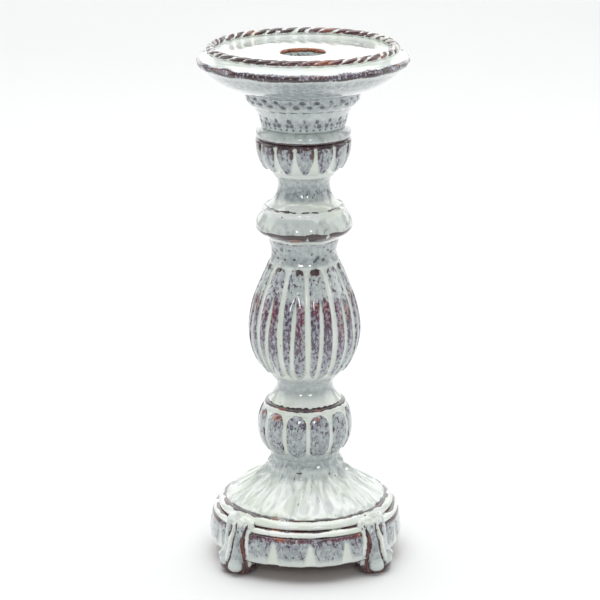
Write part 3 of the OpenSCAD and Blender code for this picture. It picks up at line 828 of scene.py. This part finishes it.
def sections():
    """The fifteen turned sections from the candle hole down to the drum."""
    made = {}
    made["candle_socket"] = turned(
        "glazed_socket", "candle_socket",
        [[(0.02, 259.5), (10.6, 259.5), (BORE_R, 261.0), (BORE_R, 270.0), (BORE_R, 280.1)],
         arc(BORE_R + 1.4, 280.1, 1.4, 180, 90), [(BORE_R + 1.4, FLOOR), (14.8, FLOOR)]],
        [(14.8, 276.4), (18.5, 276.4), (18.5, 273.4), (14.8, 273.4), (14.8, 256), (0.02, 256)],
        carve_socket,
    )
    made["drip_dish"] = turned(
        "glazed_dish", "drip_dish",
        [[(14.82, FLOOR), (30, 281.45), (43, 281.6), (46.4, 282.4)], [(46.4, 282.4), (51.4, 282.5)],
         [(51.4, 282.5), (52.3, 281.4), (53.6, 280.4), (55.0, 279.6), (56.1, 278.6), (56.5, 277.3),
          (56.0, 275.9), (54.1, 274), (52.2, 272.1), (50, 270.1), (47.4, 268.1), (43.8, 266.0),
          (39.4, 264.0), (35.2, 262.4), (31.6, 261.5)]],
        [(22, 261.5), (22, 264.6), (26, 265.4), (33, 268.8), (41, 272.6), (46.5, 276.4),
         (14.82, 276.4)],
        carve_dish,
    )
    made["neck_bell"] = turned(
        "glazed_bell", "neck_bell",
        [[(31.6, 261.5), (31.2, 259.4), (30.2, 256.6), (28.6, 254.2), (26.6, 252.6), (25.3, 250.6),
          (24.1, 248.2), (23.4, 245.6), (22.8, 243.4), (22.2, 241.7)]],
        [(16, 241.7), (16, 229.2), (12.5, 229.2), (12.5, 248), (17, 253.5), (17, 261.5)],
        carve_bell,
    )
    made["upper_bead"] = turned(
        "glazed_bead_upper", "upper_bead",
        [[(22.3, 241.7), (23.7, 241.3), (24.9, 240.0), (25.4, 238.2), (25.2, 236.7), (24.6, 235.7)]],
        [(16.25, 235.7), (16.25, 241.7)],
        carve_bead,
    )
    made["upper_knop"] = turned(
        "glazed_knop_upper", "upper_knop",
        [[(24.6, 235.7), (25.5, 235.0), (25.8, 232.8), (25.7, 230.2), (25.0, 226.8), (23.9, 223.6),
          (22.2, 220.6), (19.6, 218.0), (16.7, 216.0)]],
        [(10.75, 216), (10.75, 222.4), (12.5, 222.4), (12.5, 228.7), (16.25, 228.7), (16.25, 235.7)],
        carve_upper_knop,
    )
    made["upper_spool"] = turned(
        "glazed_spool_upper", "upper_spool",
        [[(16.7, 216.0), (15.1, 213.9), (14.3, 211.6), (14.05, 209.4), (14.4, 206.6), (15.3, 204.0),
          (16.8, 201.6), (18.6, 199.9), (20.4, 198.6)]],
        [(14, 198.6), (14, 191.5), (7.5, 191.5), (7.5, 222), (10.5, 222), (10.5, 216)],
        carve_upper_spool,
    )
    made["collar_ring"] = turned(
        "glazed_collar", "collar_ring",
        [[(20.4, 198.6), (21.8, 198.3), (22.6, 197.2), (22.6, 195.7)],
         [(22.6, 195.7), (23.8, 194.0), (25.1, 192.0), (26.0, 189.8), (26.3, 187.6), (25.9, 185.9),
          (24.7, 184.6), (22.8, 183.6)]],
        [(14.25, 183.6), (14.25, 198.6)],
        carve_collar,
    )
    made["baluster"] = turned(
        "glazed_baluster", "baluster",
        [[(21.4, 183.6), (20.9, 182.5), (19.7, 181.2), (19.0, 178.8), (18.2, 175.8), (17.85, 173.2),
          (18.2, 170.6), (19.6, 166.6), (22.2, 161.0), (24.8, 155.2), (27.1, 149.4), (29.0, 142.8),
          (30.2, 136.0), (30.6, 129.8), (30.1, 123.8), (28.7, 118.0), (26.5, 112.8), (23.6, 108.6),
          (20.2, 105.3), (16.9, 102.0)]],
        [(10.75, 102), (10.75, 107.6), (17, 111), (21.6, 119), (23, 130), (22, 140), (18, 154),
         (14, 165), (10.5, 172), (9, 176), (9, 190.8), (14, 190.8), (14, 183.6)],
        carve_baluster,
    )
    made["lower_spool"] = turned(
        "glazed_spool_lower", "lower_spool",
        [[(16.9, 102.0), (15.9, 100.4), (15.65, 98.4), (16.1, 96.0), (17.2, 93.8), (18.6, 91.6),
          (20.3, 89.2)]],
        [(14, 89.2), (14, 79.8), (7.5, 79.8), (7.5, 107.2), (10.5, 107.2), (10.5, 102)],
        carve_lower_spool,
    )
    made["lower_bead"] = turned(
        "glazed_bead_lower", "lower_bead",
        [[(20.3, 89.2), (21.6, 88.9), (22.3, 88.0), (22.4, 86.8)]],
        [(14.25, 86.8), (14.25, 89.2)],
        carve_lower_bead,
    )
    made["lower_knop"] = turned(
        "glazed_knop_lower", "lower_knop",
        [[(22.4, 86.8), (24.1, 84.6), (25.4, 81.4), (26.1, 77.4), (26.2, 73.2), (25.5, 69.2),
          (24.2, 65.8), (22.4, 63.0), (20.4, 60.8), (18.95, 58.6)]],
        [(13.75, 58.6), (13.75, 65.3), (18, 67.5), (19.4, 72), (19, 76.5), (14.25, 79.4),
         (14.25, 86.8)],
        carve_lower_knop,
    )
    made["base_dome"] = turned(
        "glazed_dome", "base_dome",
        [[(18.95, 58.6), (19.1, 56.4), (19.8, 54.6), (20.3, 52.6), (21.8, 50.3), (24.6, 47.6),
          (28, 45.1), (31.6, 42.5), (35.6, 40.1), (39.3, 38.0), (42, 36.1), (44, 33.9)]],
        [(38.25, 33.9), (38.25, 36.5), (34, 36.5), (29, 38), (22, 41.6), (15, 47), (9.5, 52.5),
         (9.5, 64.9), (13.5, 64.9), (13.5, 58.6)],
        carve_dome,
    )
    made["base_ring_upper"] = turned(
        "glazed_ring_upper", "base_ring_upper",
        [[(44, 33.9), (45.6, 33.6), (47.1, 32.5), (48.1, 30.9), (47.9, 29.8), (47.2, 29.2)]],
        [(38.25, 29.2), (38.25, 33.9)],
        carve_ring,
    )
    made["base_ring_lower"] = turned(
        "glazed_ring_lower", "base_ring_lower",
        [[(47.2, 29.2), (48.9, 29.1), (50.3, 28.3), (51.0, 27.1), (50.8, 26.4), (50.2, 26.0)]],
        [(38.25, 26), (38.25, 29.2)],
        carve_ring,
    )
    made["base_drum"] = turned(
        "glazed_drum", "base_drum",
        [[(50.2, 26.0), (51.3, 25.5), (51.8, 24.2), (51.7, 22.8), (52.2, 21.2), (52.6, 18.0),
          (52.9, 14.2), (52.6, 11.2), (51.8, 9.8), (50.6, 9.4)], [(50.6, 9.4), (15, 9.4)]],
        [(15, 14.4), (44, 14.4), (44, 21), (34, 21), (34, 36.2), (38, 36.2), (38, 26)],
        carve_drum,
    )
    return made


def studio():
    """Pale floor and room, one big light above, soft boxes at the sides and back, two small in front."""
    mesh = bpy.data.meshes.new("floor")
    far = 6.0
    corners = [(-far, -far, 0), (far, -far, 0), (far, far, 0), (-far, far, 0)]
    mesh.from_pydata([Vector(c) for c in corners], [], [(0, 1, 2, 3)])
    floor = bpy.data.objects.new("studio_floor", mesh)
    bpy.context.scene.collection.objects.link(floor)
    surface = Nodes("floor_paint")
    tone = surface.mix(surface.noise(400.0), srgb(236, 236, 236), srgb(232, 232, 232))
    surface.feed(surface.shader.inputs["Base Color"], tone)
    surface.shader.inputs["Roughness"].default_value = 0.8
    floor.data.materials.append(surface.material)

    world = bpy.data.worlds.new("studio_room")
    world.use_nodes = True
    world.node_tree.nodes["Background"].inputs["Color"].default_value = (0.96, 1.0, 1.0, 1.0)
    world.node_tree.nodes["Background"].inputs["Strength"].default_value = 0.36
    bpy.context.scene.world = world

    middle = Vector((0.0, 0.0, 0.15))
    lamps = (
        ("soft_front_left", (-0.36, -1.5, 0.78), (0.2, 0.3), 2.2),
        ("soft_front_right", (0.42, -1.5, 0.82), (0.2, 0.3), 2.2),
        ("soft_side_left", (-1.4, 0.3, 0.7), (1.0, 1.2), 4.5),
        ("soft_side_right", (1.4, 0.3, 0.7), (1.0, 1.2), 4.5),
        ("soft_back", (0.0, 2.2, 0.9), (4.0, 1.6), 22.0),
        ("soft_top", (0.0, 0.1, 1.6), (2.0, 2.0), 27.5),
    )
    for name, place, size, power in lamps:
        lamp = bpy.data.lights.new(name, "AREA")
        lamp.shape = "RECTANGLE"
        lamp.size, lamp.size_y = size
        lamp.energy = power
        holder = bpy.data.objects.new(name, lamp)
        holder.location = place
        holder.rotation_euler = (Vector(place) - middle).to_track_quat("Z", "Y").to_euler()
        bpy.context.scene.collection.objects.link(holder)


def camera():
    """A long lens about 1.4 m away, looking down 16 degrees."""
    lens = bpy.data.cameras.new("camera")
    lens.lens = 155.9
    lens.sensor_width = 36.0
    lens.clip_end = 50.0
    eye = bpy.data.objects.new("camera", lens)
    eye.location = (0.0, -1.356, 0.5335)
    eye.rotation_euler = Euler((math.radians(74.01), math.radians(0.35), 0.0))
    bpy.context.scene.collection.objects.link(eye)
    bpy.context.scene.camera = eye


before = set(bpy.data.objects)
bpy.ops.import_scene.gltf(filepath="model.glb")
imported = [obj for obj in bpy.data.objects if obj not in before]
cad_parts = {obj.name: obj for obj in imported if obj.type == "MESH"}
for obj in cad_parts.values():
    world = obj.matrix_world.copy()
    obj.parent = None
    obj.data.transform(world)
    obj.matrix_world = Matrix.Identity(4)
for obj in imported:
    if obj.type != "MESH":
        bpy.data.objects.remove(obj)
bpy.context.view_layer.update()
bpy.context.scene.view_settings.view_transform = "Standard"

pieces = sections()
pieces["rope_rim"] = rope()
for foot_node, (foot_side, foot_face) in FEET.items():
    pieces[foot_node] = foot(foot_node, foot_side, foot_face)
finish = glaze()
for node_name, made_piece in pieces.items():
    made_piece.data.materials.append(finish)

studio()
camera()
